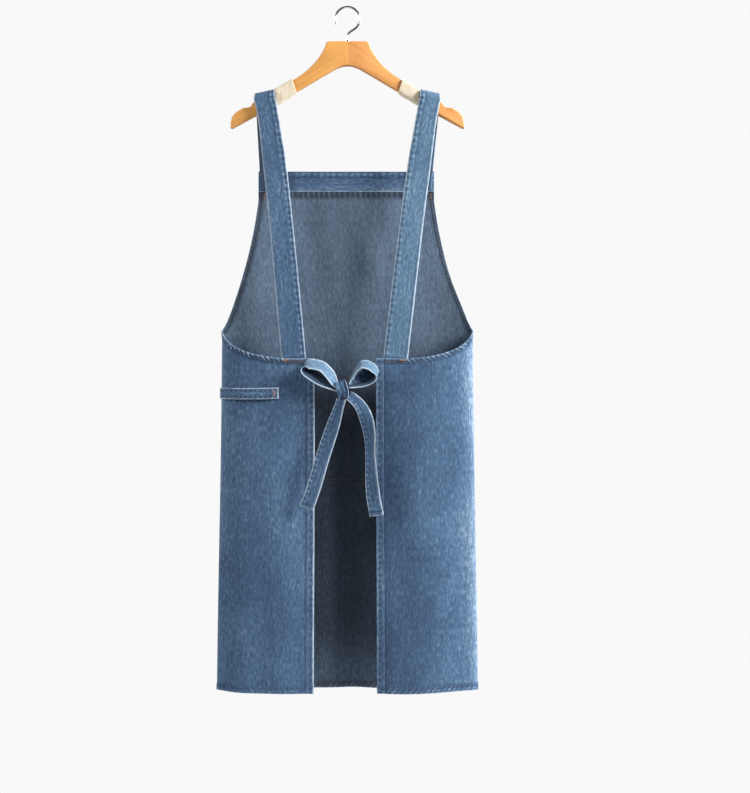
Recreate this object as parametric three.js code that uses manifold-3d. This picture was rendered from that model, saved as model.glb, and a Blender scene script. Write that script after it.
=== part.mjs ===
// Denim pinafore apron hanging from a flat wooden hanger with a swivelling wire hook.
// Millimetres, +Z up. +X is to the right of someone who looks at the tied back, +Y points to the
// front of the garment. The origin is the inside top of the hook, where it rests on a rail.

import * as THREE from 'three';
import { mergeVertices } from 'three/addons/utils/BufferGeometryUtils.js';
import Module from 'manifold-3d';

const wasm = await Module();
wasm.setup();

// ---- Shared clearances ----
const sewnGap = 0.3; // between layers that are sewn or glued together
const runningGap = 0.35; // round the hook's stem in the hanger
const reach = 200; // how far a cutter sticks out past what it cuts

// ---- Hook ----
const wireRadius = 1.9;
const hookInnerRadius = 19;
const hookOpenAngle = 205; // where the free end starts, degrees
const hookLeaveAngle = -60; // where the bend leaves the circle for the stem, degrees
const stemBendRadius = 12;
const stemTopToHead = 8; // straight stem that shows above the hanger
const collarRadius = 4.6;
const collarHeight = 3;
const nutAcrossFlats = 7;
const nutHeight = 3.2;
const nutPocketRadius = 5.2;
const nutPocketDepth = 9;
const stemPastNut = 1.5;

// ---- Hanger ----
const headTopZ = -58;
const headHalfWidth = 35;
const headHeight = 41; // down to the top of the arch between the arms
const woodThickness = 12;
const edgeRounding = 1.8;
const armTopStart = { x: 92.5, z: -124.3 };
const neckOut = 14; // the neck curve's control point, from the head's top corner
const neckDrop = 40;
const armTopSlope = 0.56;
const armBottomStart = { x: 21.4, z: -105 };
const armBottomSlope = 0.59;
const armShoulderX = 161.8; // where the top edge meets the strap notch
const notchDepth = 6;
const humpWidth = 12;
const tipX = 200;
const tipDrop = 44; // tip below the end of the straight top edge
const wrapStartX = 94;
const wrapThickness = 1.3;

// ---- Apron ----
const clothThickness = 1.6;
const halfWidth = 216.5; // at the waist
const frontDepth = 20; // the front hangs nearer the hanger, so the weight is under it
const backDepth = 40;
const sectionPower = 2.4; // 2 is an ellipse, more is squarer
const flarePerMm = 4.5e-5; // how fast the skirt widens downwards
const waistZ = -551; // side seams start here
const hemZ = -1165;
const bibTopZ = -277;
const bibHalfWidth = 151;
const bibStraight = 50; // upright part of the bib's side edge
const armholeOut = 17; // the armhole curve's pull point, beyond the bib's edge
const armholeUp = 91; // and above the waist
const bandHeight = 35;
const backTopZ = -600;
const backFlatHalfWidth = 110; // where the back's top edge levels out
const openingLeftX = -57;
const openingRightX = 49.5;

// ---- Straps ----
const strapTopX = 142;
const strapTopWidth = 34;
const strapEndWidth = 39;
const strapHalfGap = 14; // inside of the strap to the middle of the arm
const strapTilt = 0.22; // slope of the strap's top across its width
const strapTiltFade = 60;
const strapBibX = 134;
const strapBackLeftX = 89;
const strapBackRightX = 80;
const strapTuck = 18; // how far the strap ends reach past the edge they are sewn to

// ---- Pocket, towel loop and bar tacks ----
const pocketHalfWidth = 150;
const pocketTopZ = -625;
const pocketBottomZ = -815;
const pocketFullness = 10; // how far the mouth stands open
const towelLoopTopZ = -648.5;
const towelLoopHeight = 19.5;
const towelLoopInnerX = 116;
const towelLoopFullness = 9;
const tackWidth = 9;
const tackHeight = 3;
const tackThickness = 0.9;
const bibTackX = 143;
const bibTackDrop = 7.5; // from the band's lower edge to the middle of the tack

// ---- Ties ----
const tieWidth = 23;
const bowLoopDepth = 17;
const knotOutwards = 12; // from the back's cloth to the middle of the knot
const tailOutwards = 6.5;
const tailKnotGap = 4; // room for the free ends to lift under the knot
const backFace = -backDepth - sewnGap;
const knot = { x: -7.6, y: backFace - knotOutwards, z: -652, halfWidth: 11, halfDepth: 7, halfHeight: 14.5 };
const tailPlaneY = backFace - tailOutwards;

// ---- Materials ----
const finishes = {
  steel: { color: 0xb9bcc0, roughness: 0.28, metalness: 1 },
  leftWood: { color: 0xe2a45c, roughness: 0.45, metalness: 0 },
  rightWood: { color: 0xdf9a5e, roughness: 0.45, metalness: 0 },
  wrap: { color: 0xeee0ca, roughness: 0.9, metalness: 0 },
  denim: { color: 0x53789c, roughness: 0.92, metalness: 0 },
  denimInside: { color: 0x6b7f93, roughness: 0.94, metalness: 0 },
  thread: { color: 0xa5683a, roughness: 0.7, metalness: 0 },
};

// ---- Solids ----
function toSolid(geometry) {
  const bare = new THREE.BufferGeometry();
  bare.setAttribute('position', geometry.getAttribute('position'));
  if (geometry.index) {
    bare.setIndex(geometry.index);
  }
  const merged = mergeVertices(bare, 1e-4);
  return new wasm.Manifold(new wasm.Mesh({
    numProp: 3,
    vertProperties: Float32Array.from(merged.attributes.position.array),
    triVerts: Uint32Array.from(merged.index.array),
  }));
}

function toGeometry(solid) {
  const mesh = solid.getMesh();
  const geometry = new THREE.BufferGeometry();
  geometry.setAttribute('position', new THREE.BufferAttribute(mesh.vertProperties, 3));
  geometry.setIndex(new THREE.BufferAttribute(mesh.triVerts, 1));
  return geometry;
}

const cutAway = (body, tool) => toGeometry(toSolid(body).subtract(toSolid(tool)));
const keepInside = (body, tool) => toGeometry(toSolid(body).intersect(toSolid(tool)));

// Moves each corner of a geometry: move takes and returns { x, y, z }.
function reshape(geometry, move) {
  const places = geometry.getAttribute('position');
  for (let i = 0; i < places.count; i += 1) {
    const { x, y, z } = move({ x: places.getX(i), y: places.getY(i), z: places.getZ(i) });
    places.setXYZ(i, x, y, z);
  }
  return geometry;
}

// An outline drawn as (x, z), made solid from y = near to y = far.
function slab(shape, near, far, options = {}) {
  const geometry = new THREE.ExtrudeGeometry(shape, {
    depth: far - near,
    bevelEnabled: false,
    ...options,
  });
  return geometry.rotateX(Math.PI / 2).translate(0, far, 0);
}

// An outline drawn as (x, y), made solid from z = low to z = high.
function upright(shape, low, high, steps = 1) {
  const geometry = new THREE.ExtrudeGeometry(shape, {
    depth: high - low,
    bevelEnabled: false,
    steps,
  });
  return geometry.translate(0, 0, low);
}

// A band of even thickness along a curve, as a closed outline.
function band(points, thickness, divisions) {
  const curve = new THREE.SplineCurve(points.map(([a, b]) => new THREE.Vector2(a, b)));
  const sides = [[], []];
  for (let i = 0; i <= divisions; i += 1) {
    const middle = curve.getPointAt(i / divisions);
    const along = curve.getTangentAt(i / divisions);
    const across = new THREE.Vector2(-along.y, along.x).multiplyScalar(thickness / 2);
    sides[0].push(middle.clone().add(across));
    sides[1].push(middle.clone().sub(across));
  }
  return new THREE.Shape([...sides[0], ...sides[1].reverse()]);
}

const parts = new THREE.Group();

function add(name, geometry, finish, parent = parts) {
  geometry.computeVertexNormals();
  const mesh = new THREE.Mesh(geometry, new THREE.MeshStandardMaterial(finishes[finish]));
  mesh.name = name;
  parent.add(mesh);
  return mesh;
}

// ---- Hook ----
const wireBendRadius = hookInnerRadius + wireRadius;
const hookCentreZ = -hookInnerRadius;
const headBottomZ = headTopZ - headHeight;
const nutTopZ = headBottomZ + nutPocketDepth - sewnGap;
const stemEndZ = nutTopZ - nutHeight - stemPastNut;

function hookPath() {
  const places = [];
  const place = (x, z) => places.push(new THREE.Vector3(x, 0, z));
  const radians = THREE.MathUtils.degToRad;
  for (let angle = hookOpenAngle; angle >= hookLeaveAngle; angle -= 13.25) {
    const turn = radians(angle);
    place(wireBendRadius * Math.cos(turn), hookCentreZ + wireBendRadius * Math.sin(turn));
  }
  // The bend back over the stem's own line, which ends straight down at x = 0.
  const bendEndZ = headTopZ + stemTopToHead;
  for (let angle = -hookLeaveAngle - 20; angle >= 0; angle -= 20) {
    const turn = radians(angle);
    place(stemBendRadius * (1 - Math.cos(turn)), bendEndZ + stemBendRadius * Math.sin(turn));
  }
  place(0, (bendEndZ + stemEndZ) / 2);
  place(0, stemEndZ);
  return new THREE.CatmullRomCurve3(places, false, 'centripetal');
}

function circleShape(radius, sides) {
  const corners = Array.from({ length: sides }, (_, i) => {
    const turn = (2 * Math.PI * i) / sides;
    return new THREE.Vector2(radius * Math.cos(turn), radius * Math.sin(turn));
  });
  return new THREE.Shape(corners);
}

function makeHook() {
  const wire = new THREE.ExtrudeGeometry(circleShape(wireRadius, 10), {
    extrudePath: hookPath(),
    steps: 54,
    bevelEnabled: false,
  });
  add('hook_wire', wire, 'steel');

  const bore = wireRadius + runningGap;
  const ring = [
    new THREE.Vector2(bore, 0),
    new THREE.Vector2(collarRadius, 0),
    new THREE.Vector2(collarRadius, collarHeight * 0.6),
    new THREE.Vector2(bore + 0.8, collarHeight),
    new THREE.Vector2(bore, collarHeight),
    new THREE.Vector2(bore, 0),
  ];
  const collar = new THREE.LatheGeometry(ring, 24).rotateX(Math.PI / 2);
  add('hook_collar', collar, 'steel').position.z = headTopZ + sewnGap;

  const nutShape = circleShape(nutAcrossFlats / Math.sqrt(3), 6);
  nutShape.holes.push(circleShape(bore, 12));
  add('hook_nut', upright(nutShape, nutTopZ - nutHeight, nutTopZ), 'steel');
}

// ---- Hanger ----
const armTop = (x) => armTopStart.z - (x - armTopStart.x) * armTopSlope;
const armBottom = (x) => armBottomStart.z - (x - armBottomStart.x) * armBottomSlope;

// The right half's outline as (x, z); the left half mirrors it.
function hangerHalfShape() {
  const seam = sewnGap / 2;
  const shoulderZ = armTop(armShoulderX);
  const tipZ = shoulderZ - tipDrop;
  const humpX = armShoulderX + 3;
  const underX = armShoulderX - 5;
  const shape = new THREE.Shape();
  shape.moveTo(seam, headTopZ);
  shape.lineTo(headHalfWidth - 4, headTopZ);
  shape.quadraticCurveTo(headHalfWidth, headTopZ, headHalfWidth + 1.5, headTopZ - 4);
  shape.quadraticCurveTo(headHalfWidth + neckOut, headTopZ - neckDrop, armTopStart.x, armTopStart.z);
  shape.lineTo(armShoulderX, shoulderZ);
  shape.lineTo(humpX, shoulderZ - notchDepth);
  shape.quadraticCurveTo(humpX + 5, shoulderZ - notchDepth - 3, humpX + humpWidth, shoulderZ - 8);
  shape.bezierCurveTo(tipX - 12, shoulderZ - 14, tipX + 1, tipZ + 24, tipX, tipZ + 4);
  shape.quadraticCurveTo(tipX, tipZ, tipX - 4, tipZ + 1);
  shape.lineTo(underX, armBottom(underX));
  shape.lineTo(armBottomStart.x, armBottomStart.z);
  shape.quadraticCurveTo(8, headTopZ - headHeight, seam, headTopZ - headHeight);
  shape.closePath();
  return shape;
}

function stemSpace() {
  const hole = new THREE.CylinderGeometry(wireRadius + runningGap, wireRadius + runningGap, 120, 20);
  const pocket = new THREE.CylinderGeometry(nutPocketRadius, nutPocketRadius, 60, 20);
  hole.rotateX(Math.PI / 2).translate(0, 0, headTopZ - 40);
  pocket.rotateX(Math.PI / 2).translate(0, 0, headBottomZ + nutPocketDepth - 30);
  return toGeometry(toSolid(hole).add(toSolid(pocket)));
}

function makeHanger() {
  const half = slab(hangerHalfShape(), -woodThickness / 2, woodThickness / 2, {
    curveSegments: 8,
    depth: woodThickness - 2 * edgeRounding,
    bevelEnabled: true,
    bevelThickness: edgeRounding,
    bevelSize: edgeRounding,
    bevelOffset: -edgeRounding,
    bevelSegments: 2,
  });
  half.translate(0, -edgeRounding, 0);
  const space = stemSpace();
  const right = cutAway(half, space);
  const left = cutAway(mirrored(half), space);
  add('hanger_right_half', right, 'rightWood');
  add('hanger_left_half', left, 'leftWood');
}

// A copy reflected across the YZ plane, with its faces turned back outwards.
function mirrored(geometry) {
  const solid = toSolid(geometry).mirror([1, 0, 0]);
  return toGeometry(solid);
}

function makeWraps() {
  const end = strapTopX - strapTopWidth / 2 - 2;
  const rise = (sewnGap + wrapThickness) * Math.hypot(1, armTopSlope);
  const gapRise = sewnGap * Math.hypot(1, armTopSlope);
  const lean = armTopSlope * (armTop(wrapStartX) - armBottom(wrapStartX)) * 0.55;
  const sleeve = (grow, inset) => new THREE.Shape([
    new THREE.Vector2(wrapStartX + inset, armTop(wrapStartX + inset) + grow),
    new THREE.Vector2(end - inset, armTop(end - inset) + grow),
    new THREE.Vector2(end - inset, armBottom(end - inset) - grow),
    new THREE.Vector2(wrapStartX + inset - lean, armBottom(wrapStartX + inset - lean) - grow),
  ]);
  const half = woodThickness / 2 + sewnGap;
  const outside = slab(sleeve(rise, 0), -half - wrapThickness, half + wrapThickness);
  const inside = slab(sleeve(gapRise, -30), -half, half);
  const right = cutAway(outside, inside);
  add('grip_wrap_left', mirrored(right), 'wrap');
  add('grip_wrap_right', right, 'wrap');
}

// ---- Apron cloth ----
// The apron hangs as a soft oval tube. A point of the oval at an angle from the front.
function ovalPoint(angle, grow) {
  const power = 2 / sectionPower;
  const side = Math.sin(angle);
  const front = Math.cos(angle);
  const depth = front > 0 ? frontDepth : backDepth;
  return new THREE.Vector2(
    (halfWidth + grow) * Math.sign(side) * Math.abs(side) ** power,
    (depth + grow) * Math.sign(front) * Math.abs(front) ** power,
  );
}

// How far the oval's front or back stands out at x.
function ovalDepth(x, depth) {
  const share = Math.min(1, Math.abs(x) / halfWidth);
  return depth * (1 - share ** sectionPower) ** (1 / sectionPower);
}

// A layer of cloth on the oval between two angles, as an outline seen from above.
function clothArc(start, end, inner, outer, divisions, shiftY = 0) {
  const angles = Array.from({ length: divisions + 1 }, (_, i) => start + ((end - start) * i) / divisions);
  const place = (angle, grow) => ovalPoint(angle, grow).add(new THREE.Vector2(0, shiftY));
  const outside = angles.map((angle) => place(angle, outer));
  const inside = angles.map((angle) => place(angle, inner)).reverse();
  return new THREE.Shape([...outside, ...inside]);
}

// A layer of cloth that follows the oval's front from x = low to x = high.
function clothStrip(low, high, inner, outer, divisions) {
  const spots = Array.from({ length: divisions + 1 }, (_, i) => low + ((high - low) * i) / divisions);
  const place = (x, grow) => new THREE.Vector2(x, ovalDepth(x, frontDepth) + grow);
  const outside = spots.map((x) => place(x, outer));
  const inside = spots.map((x) => place(x, inner)).reverse();
  return new THREE.Shape([...outside, ...inside]);
}

function flareOut(geometry) {
  return reshape(geometry, ({ x, y, z }) => ({ x: x * (1 + flarePerMm * (waistZ - z)), y, z }));
}

function frontOutline() {
  const side = halfWidth + 5;
  const shape = new THREE.Shape();
  shape.moveTo(-side, hemZ);
  shape.lineTo(side, hemZ);
  shape.lineTo(side, waistZ);
  shape.lineTo(halfWidth, waistZ);
  shape.quadraticCurveTo(bibHalfWidth + armholeOut, waistZ + armholeUp, bibHalfWidth, bibTopZ - bibStraight);
  shape.lineTo(bibHalfWidth, bibTopZ);
  shape.lineTo(-bibHalfWidth, bibTopZ);
  shape.lineTo(-bibHalfWidth, bibTopZ - bibStraight);
  shape.quadraticCurveTo(-bibHalfWidth - armholeOut, waistZ + armholeUp, -halfWidth, waistZ);
  shape.lineTo(-side, waistZ);
  shape.closePath();
  return shape;
}

// The left back panel's outline; side is -1 for the left and 1 for the right.
function backOutline(side, openingX) {
  const outside = side * (halfWidth + 5);
  const shape = new THREE.Shape();
  shape.moveTo(openingX, hemZ);
  shape.lineTo(outside, hemZ);
  shape.lineTo(outside, waistZ);
  shape.lineTo(side * halfWidth, waistZ);
  shape.quadraticCurveTo(side * (halfWidth - 12), backTopZ + 8, side * backFlatHalfWidth, backTopZ);
  shape.lineTo(openingX, backTopZ);
  shape.closePath();
  return shape;
}

function makePanels() {
  const quarter = Math.PI / 2;
  const top = bibTopZ + 1;
  const frontSection = clothArc(-quarter, quarter, -clothThickness, 0, 36, sewnGap / 2);
  const frontTube = upright(frontSection, hemZ - 1, top);
  const front = keepInside(frontTube, slab(frontOutline(), -reach, reach, { curveSegments: 10 }));
  add('front_panel', flareOut(front), 'denimInside');

  const sides = [['left', -1, openingLeftX], ['right', 1, openingRightX]];
  for (const [name, side, openingX] of sides) {
    const section = clothArc(quarter, 3 * quarter, -clothThickness, 0, 36, -sewnGap / 2);
    const tube = upright(section, hemZ - 1, waistZ + 1);
    const outline = slab(backOutline(side, openingX), -reach, reach, { curveSegments: 10 });
    add(`back_panel_${name}`, flareOut(keepInside(tube, outline)), 'denim');
  }
}

function makeBand() {
  const outer = -clothThickness - sewnGap;
  const edge = bibHalfWidth - 1;
  const section = clothStrip(-edge, edge, outer - clothThickness, outer, 16);
  add('bib_top_band', flareOut(upright(section, bibTopZ - bandHeight, bibTopZ)), 'denim');
}

function makePocket() {
  const section = clothStrip(-pocketHalfWidth, pocketHalfWidth, sewnGap, sewnGap + clothThickness, 32);
  const pocket = upright(section, pocketBottomZ, pocketTopZ, 6);
  reshape(pocket, ({ x, y, z }) => {
    const across = Math.abs(Math.sin((Math.PI * x) / pocketHalfWidth));
    const upwards = (z - pocketBottomZ) / (pocketTopZ - pocketBottomZ);
    return { x, y: y + pocketFullness * across * Math.sqrt(upwards), z };
  });
  add('front_pocket', flareOut(pocket), 'denim');
}

function makeTowelLoop() {
  const quarter = Math.PI / 2;
  const endAngle = Math.asin((towelLoopInnerX / halfWidth) ** (sectionPower / 2));
  const start = -quarter - 0.02;
  const end = -Math.PI + endAngle;
  const section = clothArc(start, end, sewnGap, sewnGap + clothThickness, 18, -sewnGap);
  const loop = upright(section, towelLoopTopZ - towelLoopHeight, towelLoopTopZ);
  const length = halfWidth - towelLoopInnerX;
  reshape(loop, ({ x, y, z }) => {
    const along = Math.min(1, Math.max(0, (-x - towelLoopInnerX) / length));
    return { x, y: y - towelLoopFullness * Math.sin(Math.PI * along) ** 0.8, z };
  });
  add('towel_loop', flareOut(loop), 'denim');
}

// ---- Straps ----
const strapInnerX = strapTopX - strapTopWidth / 2;
// The strap's inner edge rests on the two corners of the arm's top.
const strapSeatZ = armTop(strapInnerX) + sewnGap - strapTilt * (strapTopWidth / 2);
const strapPivotZ = strapSeatZ - Math.sqrt(strapHalfGap ** 2 - (woodThickness / 2) ** 2);
const strapBackEndZ = backTopZ - strapTuck;
const strapBibZ = bibTopZ + 4; // below this the front run lies flat on the band
const strapFrontEndZ = bibTopZ - bandHeight + 2;
const strapBackEdge = strapBackLeftX + strapEndWidth / 2;
const strapBackY = ovalDepth(strapBackEdge, backDepth) - 2 * (clothThickness + sewnGap);
const strapFrontEdge = strapBibX + strapTopWidth / 2;
const strapFrontY = ovalDepth(strapFrontEdge, frontDepth) - 3 * (clothThickness + sewnGap) - sewnGap;

// The strap seen from its edge, as (y, z): up the back, over the arm and down the front.
function strapSide(grow) {
  const places = [];
  const divisions = 6;
  for (let i = 0; i < divisions; i += 1) {
    const share = i / divisions;
    const y = strapBackY + (strapHalfGap - strapBackY) * share;
    const z = strapBackEndZ + (strapPivotZ - strapBackEndZ) * share;
    places.push(new THREE.Vector2(-y - grow, z));
  }
  for (let i = 0; i <= 10; i += 1) {
    const turn = Math.PI * (1 - i / 10);
    const radius = strapHalfGap + grow;
    places.push(new THREE.Vector2(radius * Math.cos(turn), strapPivotZ + radius * Math.sin(turn)));
  }
  for (let i = 1; i <= divisions; i += 1) {
    const share = i / divisions;
    const y = strapHalfGap + (strapFrontY - strapHalfGap) * share;
    const z = strapPivotZ + (strapBibZ - strapPivotZ) * share;
    places.push(new THREE.Vector2(y + grow, z));
  }
  places.push(new THREE.Vector2(strapFrontY + grow, strapFrontEndZ));
  return places;
}

function makeStrap(name, side, backX) {
  const shape = new THREE.Shape([...strapSide(clothThickness), ...strapSide(0).reverse()]);
  const strap = new THREE.ExtrudeGeometry(shape, { depth: 1, bevelEnabled: false });
  // Drawn as (y, z) with its width along the third axis, turned to lie in the apron's frame.
  strap.applyMatrix4(new THREE.Matrix4().set(0, 0, 1, -0.5, 1, 0, 0, 0, 0, 1, 0, 0, 0, 0, 0, 1));
  reshape(strap, ({ x, y, z }) => {
    const drop = Math.max(0, strapPivotZ - z);
    const run = y < 0 ? drop / (strapPivotZ - strapBackEndZ) : drop / (strapPivotZ - strapFrontEndZ);
    const endX = y < 0 ? backX : strapBibX;
    const endWidth = y < 0 ? strapEndWidth : strapTopWidth;
    const outward = x * side * (strapTopWidth + (endWidth - strapTopWidth) * run);
    const tilt = strapTilt * Math.max(0, 1 - drop / strapTiltFade);
    return { x: side * (strapTopX + (endX - strapTopX) * run + outward), y, z: z - outward * tilt };
  });
  add(name, strap, 'denim');
}

// ---- Ties ----
function knotBall(grow) {
  const ball = new THREE.SphereGeometry(1, 18, 12);
  ball.scale(knot.halfWidth + grow, knot.halfDepth + grow, knot.halfHeight + grow);
  return ball.translate(knot.x, knot.y, knot.z);
}

function makeBow() {
  add('bow_knot', knotBall(0), 'denim');
  const near = knot.y - bowLoopDepth / 2;
  const far = knot.y + bowLoopDepth / 2;
  const left = [[-12, -650], [-36, -628], [-58, -608], [-72, -618], [-68, -636], [-44, -650], [-12, -654]];
  const right = [[-4, -650], [14, -626], [34, -607], [47, -614], [44, -634], [24, -648], [-4, -654]];
  for (const [name, places] of [['left', left], ['right', right]]) {
    const loop = slab(band(places, clothThickness, 26), near, far);
    add(`bow_loop_${name}`, cutAway(loop, knotBall(sewnGap)), 'denim');
  }
}

// The flat stretch of tie from a panel's top corner to the knot.
function makeTieBase(name, fromX) {
  const from = new THREE.Vector3(fromX, backFace - clothThickness, backTopZ - 9);
  const to = new THREE.Vector3(knot.x, backFace - clothThickness, knot.z);
  const length = from.distanceTo(to) - knot.halfHeight;
  const base = new THREE.BoxGeometry(length, clothThickness, tieWidth * 0.6);
  const mesh = add(name, base, 'denim');
  const along = to.clone().sub(from).normalize();
  mesh.position.copy(from).addScaledVector(along, length / 2);
  mesh.rotation.y = -Math.atan2(along.z, along.x);
}

function makeTails() {
  const top = knot.z - knot.halfHeight - tailKnotGap;
  const left = [[-9, top], [-24, -717], [-41, -767], [-54, -815], [-67, -850]];
  const right = [[4, top + 3], [23, -684], [35, -704], [38, -730], [39, -768], [43, -823], [49, -863]];
  for (const [name, places] of [['left', left], ['right', right]]) {
    const near = name === 'left' ? tailPlaneY - clothThickness - sewnGap : tailPlaneY;
    const tail = slab(band(places, tieWidth, 16), near - clothThickness, near);
    add(`tie_tail_${name}`, cutAway(tail, knotBall(tailKnotGap)), 'denim');
  }
}

// ---- Bar tacks: short dense rows of thread ----
function addTack(name, width, height, place) {
  const tack = new THREE.BoxGeometry(width, tackThickness, height);
  add(name, tack, 'thread').position.copy(place);
}

function makeTacks() {
  const tackRise = tackThickness / 2 + sewnGap;
  for (const [name, side, backX] of [['left', -1, strapBackLeftX], ['right', 1, strapBackRightX]]) {
    const inside = ovalDepth(bibTackX + tackHeight, frontDepth) - clothThickness - tackRise - sewnGap;
    const corner = new THREE.Vector3(side * bibTackX, inside, bibTopZ - bandHeight - bibTackDrop);
    addTack(`bib_bar_tack_${name}`, tackHeight, tackWidth, corner);
    const x = backX + strapEndWidth / 2 - tackWidth / 2;
    const outside = -ovalDepth(x - tackWidth / 2, backDepth) - tackRise - sewnGap;
    addTack(`strap_bar_tack_${name}`, tackWidth, tackHeight, new THREE.Vector3(side * x, outside, backTopZ - 3));
  }
  const x = -towelLoopInnerX - 6;
  const loopFace = -ovalDepth(x + 3, backDepth) - clothThickness - 2 * sewnGap - 3.6;
  const loopMiddleZ = towelLoopTopZ - towelLoopHeight / 2;
  const place = new THREE.Vector3(x, loopFace - tackRise, loopMiddleZ);
  addTack('towel_loop_bar_tack', tackHeight, tackWidth, place);
}

makeHook();
makeHanger();
makeWraps();
makePanels();
makeBand();
makePocket();
makeStrap('shoulder_strap_left', -1, strapBackLeftX);
makeStrap('shoulder_strap_right', 1, strapBackRightX);
makeTowelLoop();
makeTieBase('tie_base_left', openingLeftX);
makeTieBase('tie_base_right', openingRightX);
makeBow();
makeTails();
makeTacks();

export default parts;
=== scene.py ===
"""A denim pinafore apron seen from its tied back, on a flat wooden hanger with a wire hook.

Metres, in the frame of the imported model: +Z up, -Y towards the viewer of the tied back, and the
origin at the inside top of the hook.
"""

import math

import bmesh
import bpy
import numpy as np
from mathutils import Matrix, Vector


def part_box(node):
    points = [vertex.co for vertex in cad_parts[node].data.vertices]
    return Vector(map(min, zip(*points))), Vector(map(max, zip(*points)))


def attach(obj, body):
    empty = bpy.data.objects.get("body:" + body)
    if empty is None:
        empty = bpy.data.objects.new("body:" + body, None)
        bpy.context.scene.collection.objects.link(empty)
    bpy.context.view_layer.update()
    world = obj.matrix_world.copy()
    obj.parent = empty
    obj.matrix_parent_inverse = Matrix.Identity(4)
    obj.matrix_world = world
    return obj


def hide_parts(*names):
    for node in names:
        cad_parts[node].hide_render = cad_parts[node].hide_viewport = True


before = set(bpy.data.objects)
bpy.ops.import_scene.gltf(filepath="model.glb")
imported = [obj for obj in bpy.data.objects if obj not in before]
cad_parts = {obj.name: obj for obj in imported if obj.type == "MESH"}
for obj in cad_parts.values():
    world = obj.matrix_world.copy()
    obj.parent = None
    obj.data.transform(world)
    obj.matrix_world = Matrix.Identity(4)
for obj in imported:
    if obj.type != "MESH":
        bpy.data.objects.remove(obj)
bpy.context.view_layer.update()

MM = 0.001
TAU = 2 * math.pi

# ---- The photograph's view ----
CAMERA_DISTANCE = 2.4
CAMERA_RIGHT = 0.047  # the object hangs a little left of the middle of the view
CAMERA_HEIGHT = -0.664
LIGHT_CENTRE = (0, 0, -0.62)
LIGHT_DISTANCE = 3.2
VIEW_HEIGHT = 1.3552  # metres that the view takes in at the hanger
SENSOR = 36.0

# ---- The apron's shape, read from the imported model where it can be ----
SECTION_POWER = 2.4  # the hanging tube's outline, where 2 is an ellipse
FLARE = 0.045  # widening per metre below the waist
CLOTH = 1.2 * MM
front_low, front_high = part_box("front_panel")
back_low, back_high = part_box("back_panel_left")
WAIST_Z = back_high.z
HEM_Z = front_low.z
BIB_TOP_Z = front_high.z
HALF_WIDTH = front_high.x / (1 + FLARE * (WAIST_Z - HEM_Z))
FRONT_DEPTH = front_high.y
BACK_DEPTH = -back_low.y
OPENING_LEFT = 0.0555
OPENING_RIGHT = 0.0495
CURL = 12 * MM  # how far the panels' free edges fall inwards
CURL_REACH = 75 * MM
BACK_TOP_Z = WAIST_Z - 49 * MM
BACK_FLAT = 0.110
BIB_HALF = 0.151
BIB_STRAIGHT = 50 * MM
BAND_HEIGHT = 35 * MM


def smooth(edge0, edge1, value):
    t = np.clip((value - edge0) / (edge1 - edge0), 0, 1)
    return t * t * (3 - 2 * t)


def bump(value, centre, width):
    return np.exp(-(((value - centre) / width) ** 2))


def wave(angle):
    """A wave between 0 and 1."""
    return 0.5 + 0.5 * np.sin(angle)


def limited(lift, wear_and_painted_light, painted_shade):
    return lift, np.clip(wear_and_painted_light, 0, 1), np.clip(painted_shade, 0, 1)


def shares(count):
    return np.linspace(0, 1, count)


def packed(*parts):
    """Points or pairs from their separate coordinates."""
    return np.stack(parts, -1)


def link(made):
    bpy.context.scene.collection.objects.link(made)
    return made


def flat_place(tree):
    return add_node(tree, "UVMap", uv_map="flat").outputs["UV"]


def solid_place(tree):
    return add_node(tree, "TexCoord").outputs["Object"]


# ---- Node helpers ----
def new_material(name, settings):
    material = bpy.data.materials.new(name)
    material.use_nodes = True
    shader = material.node_tree.nodes["Principled BSDF"]
    for key, value in settings.items():
        shader.inputs[key].default_value = value
    return material, material.node_tree, shader


def add_node(tree, kind, **settings):
    node = tree.nodes.new("ShaderNode" + kind)
    for key, value in settings.items():
        if key in node.inputs:
            node.inputs[key].default_value = value
        else:
            setattr(node, key, value)
    return node


def math_node(tree, operation, a, b):
    node = add_node(tree, "Math", operation=operation)
    for socket, value in zip(node.inputs, (a, b)):
        if isinstance(value, (int, float)):
            socket.default_value = value
        else:
            tree.links.new(value, socket)
    return node.outputs[0]


def attribute(tree, name):
    return add_node(tree, "Attribute", attribute_name=name).outputs["Fac"]


def scaled(tree, source, scale, turn=(0, 0, 0)):
    mapping = add_node(tree, "Mapping")
    mapping.inputs["Scale"].default_value = scale
    mapping.inputs["Rotation"].default_value = turn
    tree.links.new(source, mapping.inputs["Vector"])
    return mapping.outputs["Vector"]


def noise(tree, place, scale, detail, roughness):
    node = add_node(tree, "TexNoise", Scale=1.0, Detail=detail, Roughness=roughness)
    tree.links.new(scaled(tree, place, scale), node.inputs["Vector"])
    return node.outputs["Fac"]


def paint(tree, shader, factor, stops):
    """The base colour, by the colours that the stops give to the factor."""
    ramp = add_node(tree, "ValToRGB")
    elements = ramp.color_ramp.elements
    while len(elements) < len(stops):
        elements.new(0.5)
    for element, (position, colour) in zip(elements, stops):
        element.position = position
        element.color = (*colour, 1)
    tree.links.new(factor, ramp.inputs["Fac"])
    tree.links.new(ramp.outputs["Color"], shader.inputs["Base Color"])


def weighted_sum(tree, base, terms):
    total = base
    for source, weight in terms:
        total = math_node(tree, "ADD", math_node(tree, "MULTIPLY", source, weight), total)
    return total


def add_bump(tree, shader, height, distance, strength=1.0):
    node = add_node(tree, "Bump", Strength=strength, Distance=distance)
    tree.links.new(height, node.inputs["Height"])
    tree.links.new(node.outputs["Normal"], shader.inputs["Normal"])


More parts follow.
